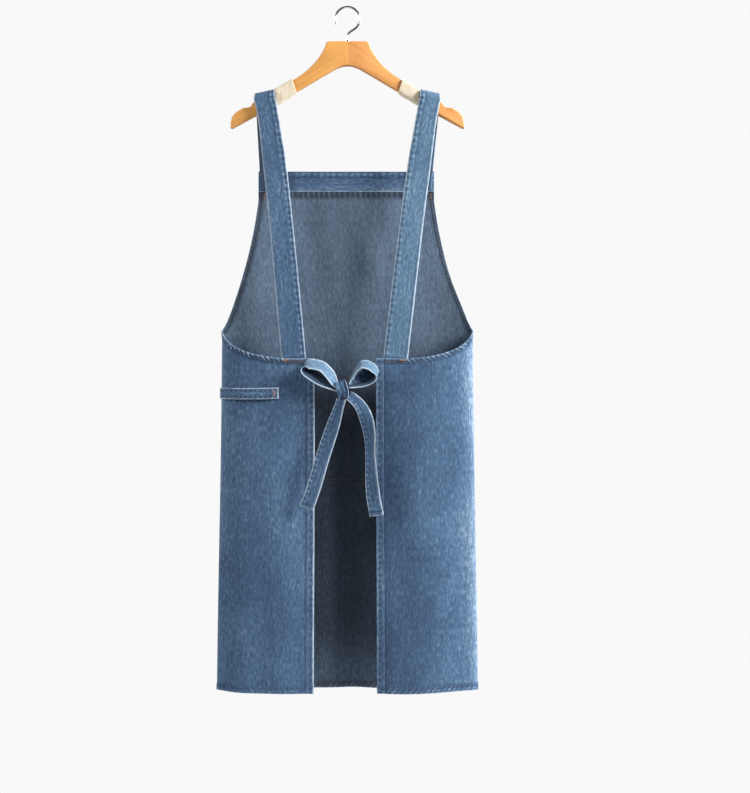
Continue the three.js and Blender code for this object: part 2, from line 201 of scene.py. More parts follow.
# ---- Materials ----
def denim(name, stops, wash=0.5, twill=0.3, deep=0.0):
    """Washed twill: a fine diagonal, uneven warp threads, cloudy fading, worn edges, painted highlights on
    puckers and painted shade in seams, holes, creases and hollows.
    """
    look = {"Roughness": 0.88, "Sheen Weight": 0.1, "Sheen Roughness": 0.6}
    material, tree, shader = new_material(name, look)
    flat = flat_place(tree)
    line = add_node(tree, "TexWave", wave_type="BANDS", bands_direction="DIAGONAL",
                    Scale=0.30, Distortion=2.5)
    line.inputs["Detail Scale"].default_value = 0.4
    tree.links.new(scaled(tree, flat, (1000, 620, 1)), line.inputs["Vector"])
    threads = noise(tree, flat, (290, 105, 1), 2.0, 0.55)
    streaks = noise(tree, flat, (150, 22, 1), 2.0, 0.5)
    clouds = noise(tree, flat, (11, 6, 1), 3.0, 0.55)
    grain = noise(tree, flat, (760, 520, 1), 2.0, 0.6)
    fine = 0.7
    factor = weighted_sum(tree, 0.5 - 0.5 * (1.0 + wash + twill + fine), [
        (threads, 0.75),
        (streaks, 0.25),
        (clouds, wash),
        (line.outputs["Fac"], twill),
        (grain, fine),
        # Worn pale edges with painted highlights on the puckers lighten the cloth; painted shade in seams,
        # stitch holes, creases, under edges and inside the skirt's hollow darkens it.
        (attribute(tree, "wear_and_painted_light"), 0.58),
        (attribute(tree, "painted_shade"), -0.5),
        (attribute(tree, "deep"), -deep),
    ])
    paint(tree, shader, factor, stops)
    height = weighted_sum(tree, 0.0, [(line.outputs["Fac"], 0.4), (threads, 0.9), (grain, 0.5)])
    add_bump(tree, shader, height, 0.5 * MM, 0.8)
    return material


def thread(name, colour, shade):
    material, tree, shader = new_material(name, {"Roughness": 0.6, "Sheen Weight": 0.2})
    place = solid_place(tree)
    ply = noise(tree, place, (1400, 1400, 1400), 2.0, 0.6)
    paint(tree, shader, ply, [(0.35, shade), (0.65, colour)])
    add_bump(tree, shader, ply, 0.15 * MM)
    return material


def wood(name, side, light, dark):
    """Pale lacquered wood whose grain runs along the hanger's arm."""
    look = {"Roughness": 0.38, "Coat Weight": 0.25, "Coat Roughness": 0.2}
    material, tree, shader = new_material(name, look)
    place = solid_place(tree)
    tilt = side * math.atan(0.6)
    turned = scaled(tree, place, (1, 1, 1), (0, -tilt, 0))
    rings = noise(tree, turned, (7, 110, 190), 4.0, 0.6)
    fibres = noise(tree, turned, (26, 900, 1100), 3.0, 0.65)
    patches = noise(tree, turned, (9, 22, 26), 2.0, 0.5)
    factor = weighted_sum(tree, -0.6, [(rings, 1.0), (fibres, 0.65), (patches, 0.55)])
    middle = tuple((a + b) / 2 for a, b in zip(light, dark))
    paint(tree, shader, factor, [(0.2, dark), (0.5, middle), (0.85, light)])
    tree.links.new(weighted_sum(tree, 0.30, [(fibres, 0.2)]), shader.inputs["Roughness"])
    add_bump(tree, shader, fibres, 0.12 * MM, 0.6)
    return material


def wrap_cloth():
    material, tree, shader = new_material("wrap_cloth", {"Roughness": 0.92, "Sheen Weight": 0.2})
    flat = flat_place(tree)
    weft = noise(tree, flat, (900, 160, 1), 2.0, 0.6)
    warp = noise(tree, flat, (160, 900, 1), 2.0, 0.6)
    stain = noise(tree, flat, (60, 60, 1), 3.0, 0.55)
    factor = weighted_sum(tree, -0.55, [(weft, 0.7), (warp, 0.7), (stain, 0.7)])
    stops = [(0.15, (0.66, 0.52, 0.36)), (0.5, (0.80, 0.68, 0.51)), (0.85, (0.90, 0.81, 0.68))]
    paint(tree, shader, factor, stops)
    add_bump(tree, shader, weighted_sum(tree, 0.0, [(weft, 1.0), (warp, 1.0)]), 0.3 * MM)
    return material


def steel():
    material, tree, shader = new_material("steel", {"Roughness": 0.2, "Metallic": 1.0})
    place = solid_place(tree)
    drawn = noise(tree, place, (900, 900, 120), 3.0, 0.6)
    stops = [(0.3, (0.52, 0.53, 0.55)), (0.7, (0.74, 0.75, 0.77))]
    paint(tree, shader, drawn, stops)
    tree.links.new(weighted_sum(tree, 0.12, [(drawn, 0.22)]), shader.inputs["Roughness"])
    add_bump(tree, shader, drawn, 0.05 * MM, 0.5)
    return material


DENIM_FACE = denim("denim_face", [
    (0.08, (0.011, 0.033, 0.078)),
    (0.36, (0.029, 0.076, 0.160)),
    (0.58, (0.059, 0.135, 0.250)),
    (0.80, (0.170, 0.275, 0.410)),
    (1.00, (0.470, 0.560, 0.660)),
])
# A lighter copy of the face denim, painted light for the right strap on the lit side and for the bow
# loops.
DENIM_PAINTED_LIT = denim("denim_painted_lit", [
    (0.08, (0.020, 0.050, 0.104)),
    (0.36, (0.054, 0.124, 0.218)),
    (0.58, (0.104, 0.208, 0.330)),
    (0.80, (0.230, 0.355, 0.490)),
    (1.00, (0.500, 0.600, 0.690)),
])
# The reverse side's own greyer colour; its deep weight adds painted shade where the deep attribute is set.
DENIM_INSIDE = denim("denim_inside", [
    (0.05, (0.020, 0.032, 0.054)),
    (0.36, (0.066, 0.106, 0.168)),
    (0.60, (0.102, 0.158, 0.238)),
    (0.85, (0.210, 0.280, 0.370)),
    (1.00, (0.380, 0.440, 0.510)),
], wash=0.4, twill=0.35, deep=0.47)
THREAD_BLUE = thread("thread_blue", (0.120, 0.150, 0.215), (0.040, 0.052, 0.090))
THREAD_ORANGE = thread("thread_orange", (0.56, 0.250, 0.085), (0.26, 0.105, 0.045))
THREAD_DARK = thread("thread_dark", (0.30, 0.150, 0.075), (0.030, 0.022, 0.025))
WOOD_LEFT = wood("wood_left", -1, (0.94, 0.47, 0.135), (0.74, 0.33, 0.08))
WOOD_RIGHT = wood("wood_right", 1, (0.94, 0.45, 0.15), (0.72, 0.31, 0.09))
WRAP_CLOTH = wrap_cloth()
STEEL = steel()


# ---- Mesh helpers ----
def make_object(name, points, faces, uv=None, fields=None, materials=()):
    mesh = bpy.data.meshes.new(name)
    mesh.from_pydata(points.tolist(), [], faces)
    if uv is not None:
        layer = mesh.uv_layers.new(name="flat")
        corners = np.empty(len(mesh.loops), np.int32)
        mesh.loops.foreach_get("vertex_index", corners)
        layer.data.foreach_set("uv", uv[corners].astype(np.float32).ravel())
    for key, values in (fields or {}).items():
        field = mesh.attributes.new(key, "FLOAT", "POINT")
        field.data.foreach_set("value", values.astype(np.float32))
    for material in materials:
        mesh.materials.append(material)
    mesh.polygons.foreach_set("use_smooth", np.ones(len(mesh.polygons), bool))
    mesh.update()
    return link(bpy.data.objects.new(name, mesh))


def grid_faces(rows, columns, wrap=False, flip=False):
    last = columns if wrap else columns - 1
    i, j = np.meshgrid(np.arange(rows - 1), np.arange(last), indexing="ij")
    k = (j + 1) % columns
    faces = packed(i * columns + j, i * columns + k, (i + 1) * columns + k, (i + 1) * columns + j)
    faces = faces.reshape(-1, 4)
    return (faces[:, ::-1] if flip else faces).tolist()


def tube_faces(rows, sides):
    """The faces of a closed tube of rings, with a cap at each end."""
    last = (rows - 1) * sides
    caps = [list(range(sides))[::-1], list(range(last, last + sides))]
    return grid_faces(rows, sides, wrap=True) + caps


def finish_piece(made, body, slot, *nodes):
    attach(made, body)
    if nodes:
        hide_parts(*nodes)
    return made


def sewn_piece(made, node):
    return finish_piece(made, "apron", "denim", node)


def spread(length, step, fine_step, fine_length, fine_end=True):
    """Places from 0 to length, closer together near the start, and near an end that has a hem."""
    places = [0.0]
    while places[-1] < length:
        here = places[-1]
        near = here < fine_length or (fine_end and length - here < fine_length)
        places.append(here + (fine_step if near else step))
    values = np.array(places)
    return values * (length / values[-1])


def distance_to(points, line):
    """Distance from each 2D point to a polyline, and how far along the line the nearest spot is."""
    shape = points.shape[:-1]
    points = points.reshape(-1, 2)
    step = np.diff(line, axis=0)
    size = np.linalg.norm(step, axis=1)
    best = np.full(len(points), 1e9)
    along = np.zeros(len(points))
    for origin, direction, length, offset in zip(line, step, size, path_length(line)):
        share = np.clip(((points - origin) @ direction) / (length * length), 0, 1)
        gap = np.linalg.norm(points - origin - share[:, None] * direction, axis=1)
        nearer = gap < best
        best[nearer] = gap[nearer]
        along[nearer] = (offset + share * length)[nearer]
    return best.reshape(shape), along.reshape(shape)


def bezier(p0, p1, p2):
    t = shares(40)[:, None]
    p0, p1, p2 = (np.array(p, float) for p in (p0, p1, p2))
    return (1 - t) ** 2 * p0 + 2 * t * (1 - t) * p1 + t * t * p2


def spline(points, count):
    """A smooth open curve through the points, evenly spaced along its length."""
    points = np.array(points, float)
    padded = np.vstack([2 * points[0] - points[1], points, 2 * points[-1] - points[-2]])
    pieces = []
    for i in range(len(points) - 1):
        a, b, c, d = padded[i : i + 4]
        t = np.linspace(0, 1, 40, endpoint=False)[:, None]
        curve = b + 0.5 * t * (c - a + t * (2 * a - 5 * b + 4 * c - d + t * (3 * (b - c) + d - a)))
        pieces.append(curve)
    dense = np.vstack([*pieces, points[-1:]])
    return resample(dense, count)


def path_length(line):
    """The distance along a line at each of its points."""
    return np.concatenate([[0], np.cumsum(np.linalg.norm(np.diff(line, axis=0), axis=1))])


def values_at(at, along, line):
    return np.stack([np.interp(at, along, line[:, k]) for k in range(line.shape[1])], -1)


def resample(line, count):
    length = path_length(line)
    return values_at(np.linspace(0, length[-1], count), length, line)


def unit(vectors):
    return vectors / np.maximum(np.linalg.norm(vectors, axis=-1, keepdims=True), 1e-12)


def tangents(line):
    return unit(np.gradient(line, axis=0))


def square_to(tangent, across):
    """The part of across that is at right angles to the tangent, at length 1."""
    return unit(across - (across * tangent).sum(-1, keepdims=True) * tangent)


# ---- The hanging tube ----
class Oval:
    """One side of the hanging tube seen from above, by distance s round it from the middle."""

    def __init__(self, depth, sign, power=SECTION_POWER):
        angle = np.linspace(0, math.pi / 2, 1500)
        power = 2 / power
        self.x = HALF_WIDTH * np.sin(angle) ** power
        self.y = sign * depth * np.abs(np.cos(angle)) ** power
        self.s = path_length(packed(self.x, self.y))
        self.sign = sign
        self.length = self.s[-1]

    def at(self, s):
        """Place (x, y) and outward direction at s, which is negative left of the middle."""
        side = np.where(s < 0, -1.0, 1.0)
        reach = np.clip(np.abs(s), 0, self.length)
        x = side * np.interp(reach, self.s, self.x)
        y = np.interp(reach, self.s, self.y)
        ahead, behind = (np.clip(reach + step, 0, self.length) for step in (0.5 * MM, -0.5 * MM))
        lines = (self.x, self.y)
        dx, dy = (np.interp(ahead, self.s, line) - np.interp(behind, self.s, line) for line in lines)
        out = unit(packed(-dy * self.sign, dx * self.sign))
        out[..., 0] *= side
        return x, y, out

    def s_of(self, x):
        return np.sign(x) * np.interp(np.abs(x), self.x, self.s)


FRONT = Oval(FRONT_DEPTH - CLOTH / 2, 1)
BACK = Oval(BACK_DEPTH - CLOTH / 2, -1)
BACK_SIDES = {-1: BACK, 1: Oval(BACK_DEPTH - CLOTH / 2, -1, 2.05)}


def spread_at(z):
    """How wide the tube hangs at a height, as a share of its width at the waist."""
    drop = WAIST_Z - z
    snug = 0.0135 * smooth(-60 * MM, 0, drop) * (1 - smooth(120 * MM, 600 * MM, drop))
    return 1 + FLARE * np.clip(drop, 0, None) - snug


def lean_at(z):
    """The bib hangs a little to the left of the skirt."""
    return -2.4 * MM * smooth(WAIST_Z + 20 * MM, WAIST_Z + 110 * MM, z)


def surface(oval, s, z, lift):
    """Points on the hanging tube, moved outwards by lift."""
    x, y, out = oval.at(s)
    x = x + out[..., 0] * lift
    y = y + out[..., 1] * lift
    return packed(x * spread_at(z) + lean_at(z), y, z)


def curl(s, z, start):
    """How far the back panels' free edges fall inwards."""
    reach = 1 - smooth(0, CURL_REACH, np.abs(s) - start)
    return -CURL * reach * (0.25 + 0.75 * smooth(0, 120 * MM, BACK_TOP_Z - z))


def skirt_folds(oval, s, z):
    """Soft upright waves that grow towards the hem, and slight unevenness all over."""
    down = np.clip((WAIST_Z - z) / (WAIST_Z - HEM_Z), 0, 1)
    phase = 0.9 if oval.sign > 0 else 2.1
    waves = np.sin(TAU * s / 0.137 + phase + 0.8 * down)
    waves += 0.6 * np.sin(TAU * s / 0.083 + 1.7 * phase - 1.1 * down)
    uneven = np.sin(TAU * (s / 0.21 + z / 0.17)) * np.sin(TAU * (z / 0.26 - s / 0.33) + 1.3)
    fade = 1 - smooth(oval.length - 30 * MM, oval.length, np.abs(s))
    height = 3.6 * MM if oval.sign > 0 else 2.4 * MM
    return fade * (height * down * waves + 0.9 * MM * uneven)


def hem_effect(d, along, width, period, rope, lean, stitch=None):
    """Lift, pale marks and painted shade of a turned and stitched edge at distance d from it: a worn pale
    fold, painted highlights on pucker ridges, and painted shade in the pucker valleys, along the stitching
    and just past the hem's edge.
    """
    stitch = width - 2 * MM if stitch is None else stitch
    inside = 1 - smooth(width - 0.5 * MM, width + 1.2 * MM, d)
    phase = along / period + lean * d / width + 0.12 * np.sin(along / (31 * MM))
    twist = wave(TAU * phase)
    twist = twist * (0.9 + 0.1 * np.sin(TAU * along / (3.7 * period)))
    belly = np.clip(np.sin(math.pi * np.clip(d / width, 0, 1)), 0, 1) ** 0.6
    seam = bump(d, stitch, 1.1 * MM)
    lift = inside * (0.8 * MM + rope * 0.8 * MM * twist * belly) - 0.45 * MM * seam
    # Painted shade in the pucker valleys, along the stitch line and just past the hem's edge.
    gap = rope * inside * np.clip(1 - twist, 0, 1) ** 1.5 * belly
    painted_shade = seam * (0.45 + 0.55 * (1 - twist)) + 1.2 * gap
    painted_shade = painted_shade + 0.4 * bump(d, width + 1.5 * MM, 1.5 * MM)
    # A worn pale fold edge, and painted highlights on the pucker ridges.
    wear_and_painted_light = 0.6 * bump(d, 0, 1.1 * MM) + 2.2 * rope * inside * twist**5 * belly
    return lift, np.clip(wear_and_painted_light, 0, 1.3), np.clip(painted_shade, 0, 1.2)


def free_edge(side, d, along):
    """The back panels' upright hems: a pale fold, paler on the left, a row of stitch holes in painted
    shade, an inner crease with a painted shade line past it, and painted shade on the right panel near its
    hem.
    """
    pulse = wave(TAU * along / (10.5 * MM) + np.sin(along / (40 * MM)))
    holes = bump(d, 5.2 * MM, 1.7 * MM) * smooth(0.45, 0.8, pulse)
    crease = bump(d, 12.0 * MM, 1.2 * MM)
    band = 1 - smooth(11 * MM, 13 * MM, d)
    fold = bump(d, 0.6 * MM, 1.8 * MM)
    grey = 0.14 if side > 0 else 0.08
    wear_and_painted_light = (0.95 if side < 0 else 0.30) * fold + grey * band + 0.3 * crease
    painted_shade = 0.95 * holes + 0.35 * bump(d, 14.5 * MM, 1.6 * MM)
    # Painted shade on the right panel next to its hem.
    painted_shade = painted_shade + (0.25 * bump(d, 18 * MM, 14 * MM) if side > 0 else 0)
    lift = band * 0.8 * MM - 0.35 * MM * bump(d, 5.2 * MM, 1.2 * MM)
    return limited(lift, wear_and_painted_light, painted_shade)


def combine(effects):
    """The highest lift, pale marks and painted shade of several effects at each place."""
    return [np.max([effect[k] for effect in effects], 0) for k in range(3)]


def cloth_panel(name, oval, s, z, lift, wear_and_painted_light, painted_shade, deep=None):
    """A sheet on the tube, with the denim's face outwards and its reverse inside."""
    rows, columns = s.shape
    points = surface(oval, s, z, lift).reshape(-1, 3)
    uv = packed(s, z).reshape(-1, 2)
    fields = {"wear_and_painted_light": wear_and_painted_light.ravel(), "painted_shade": painted_shade.ravel()}
    # deep carries painted shade for the reverse side.
    if deep is not None:
        fields["deep"] = deep.ravel()
    faces = grid_faces(rows, columns, flip=oval.sign < 0)
    made = make_object(name, points, faces, uv, fields, [DENIM_FACE, DENIM_INSIDE])
    shell = made.modifiers.new("cloth", "SOLIDIFY")
    shell.thickness = CLOTH
    shell.offset = 0.0
    shell.material_offset = 1
    return made


# ---- Stitching ----
class Stitching:
    """Rows of thread, gathered into one mesh."""

    def __init__(self, name, material, radius=0.42 * MM):
        self.name, self.material, self.radius = name, material, radius
        self.points, self.faces = [], []

    def row(self, line, out, length=2.5 * MM, gap=1.1 * MM):
        along = path_length(line)
        count = int(along[-1] / (length + gap))
        for i in range(count):
            start = (i + 0.5) * along[-1] / count - length / 2
            at = start + length * np.array([0, 0.18, 0.5, 0.82, 1])
            self.add(values_at(at, along, line), unit(values_at(at, along, out)))

    def add(self, middle, up):
        sizes = self.radius * np.array([0.25, 0.85, 1.0, 0.85, 0.25])
        rise = self.radius * np.array([-0.6, 0.1, 0.35, 0.1, -0.6])
        side = unit(np.cross(up, tangents(middle)))
        sides = 6
        base = sum(len(p) for p in self.points)
        rings = []
        for turn in TAU * np.arange(sides) / sides:
            ring = side * math.cos(turn) + up * math.sin(turn)
            rings.append(middle + up * rise[:, None] + ring * sizes[:, None])
        self.points.append(np.stack(rings, 1).reshape(-1, 3))
        self.faces += [[base + v for v in face] for face in tube_faces(5, sides)]

    def build(self, body, *nodes):
        made = make_object(self.name, np.vstack(self.points), self.faces, materials=[self.material])
        return finish_piece(made, body, "thread", *nodes)


def row_on(stitching, oval, s, z, lift, back=False):
    """A row of stitches along places (s, z) of the tube, on its outside or its inside."""
    side = -1 if back else 1
    level = lift + side * (CLOTH / 2 + 0.1 * MM)
    line = surface(oval, s, z, level)
    _, _, out = oval.at(s)
    stitching.row(line, side * packed(out[:, 0], out[:, 1], np.zeros(len(s))))


# ---- Ribbons: straps, ties, loops ----
def ribbon(name, centre, across, half_width, thickness, material, edge_effect, sag=0.0, face_shade=0.0):
    """A flat band of doubled cloth along a path, with rounded, stitched edges.

    The shade argument paints shade on one face between the edges, darkening it and evening out its pale
    marks: the top if it is negative, else the bottom.
    """
    count = len(centre)
    half_width = np.broadcast_to(half_width, (count,))
    along = path_length(centre)
    tangent = tangents(centre)
    across = square_to(tangent, across)
    normal = np.cross(tangent, across)
    share = np.array([-1, -0.985, -0.94, -0.87, -0.79, -0.7, -0.58, -0.42, -0.22])
    share = np.concatenate([share, [0], -share[::-1]])
    v, a = np.meshgrid(share, along)
    width = half_width[:, None] * np.ones_like(v)
    effect = edge_effect(v * width, width * (1 - np.abs(v)), a)
    lift, wear_and_painted_light, painted_shade = (np.broadcast_to(field, v.shape) for field in effect)
    round_off = np.sqrt(np.clip(1 - np.abs(v) ** 14, 0, 1))
    cup = sag * (1 - v**2)
    half = thickness / 2 * round_off
    place = centre[:, None] + across[:, None] * (v * width)[..., None]
    top = place + normal[:, None] * (half + lift * round_off + cup)[..., None]
    bottom = place - normal[:, None] * (half + lift * round_off - cup)[..., None]
    loop = np.concatenate([top, bottom[:, ::-1][:, 1:-1]], 1)
    size = loop.shape[1]

    # Painted shade on one face, fading out towards the edges.
    inside = smooth(1.2 * MM, 3.5 * MM, width * (1 - np.abs(v)))
    top_face_shade, bottom_face_shade = max(-face_shade, 0.0) * inside, max(face_shade, 0.0) * inside

    def both(field, sign=0):
        low = (field + sign * bottom_face_shade)[:, ::-1][:, 1:-1]
        return np.concatenate([field + sign * top_face_shade, low], 1).ravel()

    uv = packed(both(v * width), both(a))
    fields = {"wear_and_painted_light": both(wear_and_painted_light, -1), "painted_shade": both(painted_shade, 1)}
    return make_object(name, loop.reshape(-1, 3), tube_faces(count, size), uv, fields, [material])


def folded_edges(inset, period, white, stitched=True, base=0.0):
    """A band folded at both sides, with worn pale folds; if it is stitched, a puckered row of stitches
    along one side, with painted highlights on the puckers and painted shade in the stitch holes and along
    the seam.
    """

    def effect(v, d, a):
        pulse = wave(TAU * a / period + 0.8 * np.sin(a / (45 * MM)))
        edge = bump(d, 0, 2.2 * MM)
        near = stitched * (v <= 0)
        ovals = near * bump(d, 2.1 * inset, 0.6 * inset) * pulse**1.5
        holes = near * bump(d, inset, 0.42 * inset) * smooth(0.35, 0.75, 1 - pulse)
        seam = near * bump(d, 3.05 * inset, 0.35 * inset)
        wear_and_painted_light = base + white * edge + 0.55 * ovals
        painted_shade = 0.95 * holes + 0.4 * seam
        lift = 0.35 * MM * ovals - 0.3 * MM * holes
        return limited(lift, wear_and_painted_light, painted_shade)

    return effect


# ---- Camera, light and floor ----
def make_camera():
    data = bpy.data.cameras.new("camera")
    data.sensor_width = SENSOR
    data.lens = SENSOR * CAMERA_DISTANCE / VIEW_HEIGHT
    camera = bpy.data.objects.new("camera", data)
    camera.location = (CAMERA_RIGHT, -CAMERA_DISTANCE, CAMERA_HEIGHT)
    camera.rotation_euler = (math.pi / 2, 0, 0)
    bpy.context.scene.camera = link(camera)


def make_light(name, azimuth, elevation, size, power):
    """A round soft light, aimed at the apron; azimuth 0 is the camera's side, positive to the right."""
    turn, rise = math.radians(azimuth), math.radians(elevation)
    direction = Vector((math.sin(turn) * math.cos(rise), -math.cos(turn) * math.cos(rise), math.sin(rise)))
    data = bpy.data.lights.new(name, "AREA")
    data.shape = "DISK"
    data.size = size
    data.energy = power
    light = bpy.data.objects.new(name, data)
    light.location = Vector(LIGHT_CENTRE) + direction * LIGHT_DISTANCE
    light.rotation_euler = direction.to_track_quat("Z", "Y").to_euler()
    link(light)


def make_world():
    world = bpy.data.worlds.new("studio")
    bpy.context.scene.world = world
    world.use_nodes = True
    tree = world.node_tree
    tree.nodes.clear()
    seen = add_node(tree, "Background", Color=(0.947, 0.947, 0.947, 1), Strength=1.0)
    lit = add_node(tree, "Background", Color=(0.92, 0.96, 1.0, 1), Strength=0.13)
    mix = add_node(tree, "MixShader")
    path = add_node(tree, "LightPath")
    out = add_node(tree, "OutputWorld")
    tree.links.new(path.outputs["Is Camera Ray"], mix.inputs["Fac"])
    tree.links.new(lit.outputs[0], mix.inputs[1])
    tree.links.new(seen.outputs[0], mix.inputs[2])
    tree.links.new(mix.outputs[0], out.inputs["Surface"])


def make_floor():
    """A pale disc below the apron, out of the main view."""
    count, radius, level = 96, 1.15, -1.75
    turn = np.linspace(0, TAU, count, endpoint=False)
    points = packed(radius * np.cos(turn), radius * np.sin(turn), np.full(count, level))
    material, _, _ = new_material("floor", {"Roughness": 0.9, "Base Color": (0.85, 0.85, 0.85, 1)})
    floor = make_object("floor", points, [list(range(count))], materials=[material])


make_camera()
make_world()
make_light("key_right", 69, 24, 1.5, 205)
make_light("key_left", -66, 24, 1.5, 58)
make_light("front_left", 132, 28, 1.8, 120)
make_light("front_right", -140, 20, 1.8, 40)
make_floor()
bpy.context.scene.view_settings.view_transform = "Standard"


# ---- Front panel ----
def armhole(side):
    """The bib's side edge and armhole from the top corner to the side seam, as (x, z)."""
    top = np.array([[BIB_HALF, BIB_TOP_Z], [BIB_HALF, BIB_TOP_Z - BIB_STRAIGHT]])
    control = (BIB_HALF + 17 * MM, WAIST_Z + 91 * MM)
    curve = bezier(top[1], control, (HALF_WIDTH, WAIST_Z))
    return np.vstack([top[:1], curve]) * [side, 1]


def front_lift(s, z):
    """Lift, pale marks with painted highlights, painted shade, and the painted shade of the inside: from
    the hems, and the shadow dashes under the band.
    """
    effects = []
    shade = np.zeros(s.shape)
    for side in (-1, 1):
        line = armhole(side)
        line[:, 0] = FRONT.s_of(line[:, 0])
        d, along = distance_to(packed(s, z), line)
        lift, wear_and_painted_light, painted_shade = hem_effect(d, along, 8 * MM, 8 * MM, 0.25, side)
        effects.append((lift, wear_and_painted_light, painted_shade))
        # Painted shade on the inside of the armhole hems.
        shade = shade + 0.55 * (1 - smooth(7.5 * MM, 9 * MM, d))
    effects.append(hem_effect(z - HEM_Z, s, 9 * MM, 9 * MM, 0.5, -1))
    below = BIB_TOP_Z - BAND_HEIGHT - z
    dashes = smooth(0.35, 0.6, wave(TAU * s / (9 * MM)))
    # Painted shadow under the band's lower edge, in dashes, and a softer painted shade below it.
    shade = shade + 3.2 * bump(below, 4.5 * MM, 2.8 * MM) * (0.1 + 0.9 * dashes)
    shade = shade + 0.6 * bump(below, 9 * MM, 3 * MM)
    lift, wear_and_painted_light, painted_shade = combine(effects)
    return 0.5 * lift, wear_and_painted_light, painted_shade, shade


def bib_folds(s, z):
    """The bib's middle hangs a little slack between the straps."""
    up = smooth(WAIST_Z, BIB_TOP_Z, z)
    slack = -2.0 * MM * np.cos(math.pi * np.clip(s / 0.15, -1, 1)) * smooth(0, 0.5, up)
    drags = 0.7 * MM * np.sin(TAU * s / 0.06 + 3 * up) * up * (1 - up) * 4
    return slack * 0.5 + drags


def make_front():
    rows = -spread(BIB_TOP_Z - HEM_Z, 3.2 * MM, 1.3 * MM, 14 * MM) + BIB_TOP_Z
    edge = armhole(1)
    half_x = np.where(rows > WAIST_Z, np.interp(-rows, -edge[:, 1], edge[:, 0]), HALF_WIDTH)
    half_s = FRONT.s_of(half_x)
    share = spread(2.0, 0.0105, 0.005, 0.06) - 1
    s = half_s[:, None] * share[None]
    z = np.repeat(rows[:, None], len(share), 1)
    lift, wear_and_painted_light, painted_shade, shade = front_lift(s, z)
    lift = lift + skirt_folds(FRONT, s, z) + bib_folds(s, z)
    # Painted shade inside the skirt's hollow below the waist, lighter towards the hem, plus the painted
    # shade from the hems and band.
    deep = smooth(0, 120 * MM, WAIST_Z - z) * (1 - 0.6 * smooth(110 * MM, 10 * MM, z - HEM_Z))
    deep = deep + shade
    made = cloth_panel("apron_front", FRONT, s, z, lift, wear_and_painted_light, painted_shade, deep)
    return sewn_piece(made, "front_panel")


# ---- Back panels ----
def back_edges(side, opening):
    """Top edge from the side seam to the opening, as (x, z), for a positive x."""
    control = (HALF_WIDTH - 12 * MM, BACK_TOP_Z + 8 * MM)
    curve = bezier((HALF_WIDTH, WAIST_Z), control, (BACK_FLAT, BACK_TOP_Z))
    return np.vstack([curve, [[opening, BACK_TOP_Z]]]) * [side, 1]


def side_paling(oval, side, s):
    """The cloth is paler where it turns round the side, more on the right."""
    paling = (0.42 if side > 0 else 0.16) * bump(oval.length - np.abs(s), 0, 26 * MM)
    return np.zeros_like(s), paling, np.zeros_like(s)


def painted_panel_shade(side, d_open, z):
    """Painted shade: the left panel darker low down, the right one near its middle."""
    if side < 0:
        panel_shade = 0.20 * smooth(-0.80, -1.05, z)
    else:
        panel_shade = 0.17 * bump(d_open, 62 * MM, 55 * MM)
    return np.zeros_like(z), np.zeros_like(z), panel_shade


def hem_drop(oval, s, z, start):
    """The back hem hangs lowest at the opening and rises towards the side seams."""
    low = smooth(BACK_TOP_Z, HEM_Z, z)
    return low * (3.5 * MM * smooth(start, oval.length, np.abs(s)) - 1.5 * MM)


def make_back(name, side, opening):
    oval = BACK_SIDES[side]
    top = back_edges(side, opening)
    top_s = packed(oval.s_of(top[:, 0]), top[:, 1])
    start = oval.s_of(opening)
    columns = start + spread(oval.length - start, 2.4 * MM, 1.2 * MM, 16 * MM, False)
    reach = np.abs(top_s[::-1, 0])
    top_z = np.interp(columns, reach, top_s[::-1, 1])
    share = spread(1.0, 0.0045, 0.0021, 0.03)
    z = top_z[None] + (HEM_Z - top_z)[None] * share[:, None]
    s = side * np.repeat(columns[None], len(share), 0)
    if side < 0:
        s, z = s[:, ::-1], z[:, ::-1]
    d_top, a_top = distance_to(packed(s, z), top_s)
    d_open = np.abs(s) - start
    roped = 0.1 + 0.9 * smooth(94 * MM, 106 * MM, np.abs(s))
    lift, wear_and_painted_light, painted_shade = combine([
        hem_effect(d_top, a_top, 7.5 * MM, 8.5 * MM, roped, side),
        free_edge(side, d_open, z),
        hem_effect(z - HEM_Z, s, 10 * MM, 9 * MM, 0.35, -side),
        side_paling(oval, side, s),
        painted_panel_shade(side, d_open, z),
    ])
    lift = lift + skirt_folds(oval, s, z) + curl(s, z, start)
    z = z + hem_drop(oval, s, z, start)
    made = cloth_panel(f"apron_{name}", oval, s, z, lift, wear_and_painted_light, painted_shade)
    sewn_piece(made, f"back_panel_{name.split('_')[1]}")
    return start, top_s


make_front()
left_start, left_top = make_back("back_left", -1, OPENING_LEFT)
right_start, right_top = make_back("back_right", 1, OPENING_RIGHT)


# ---- Straps ----
STRAP_TOP_X = 0.141
STRAP_SWAY = {"left": 5.4 * MM, "right": 4.0 * MM}
STRAP_TILT = 0.22
STRAP_BACK_X = {-1: 0.089, 1: 0.080}
STRAP_SEWN_X = 0.108
STRAP_GAP = 14 * MM
STRAP_BACK_END_Z = BACK_TOP_Z - 14 * MM
STRAP_BIB_X = 0.129
STRAP_FRONT_END_Z = BIB_TOP_Z - BAND_HEIGHT + 3 * MM


def seat_share(z, pivot):
    """How far down a strap's front run is, from 0 at the hanger to 1 at the bib's top."""
    return np.clip((pivot - z) / (pivot - BIB_TOP_Z), 0, 1)


def tube_depth(depth, x):
    """How far the tube's side lies from the middle plane at a distance x from the middle."""
    return depth * (1 - (x / HALF_WIDTH) ** SECTION_POWER) ** (1 / SECTION_POWER)


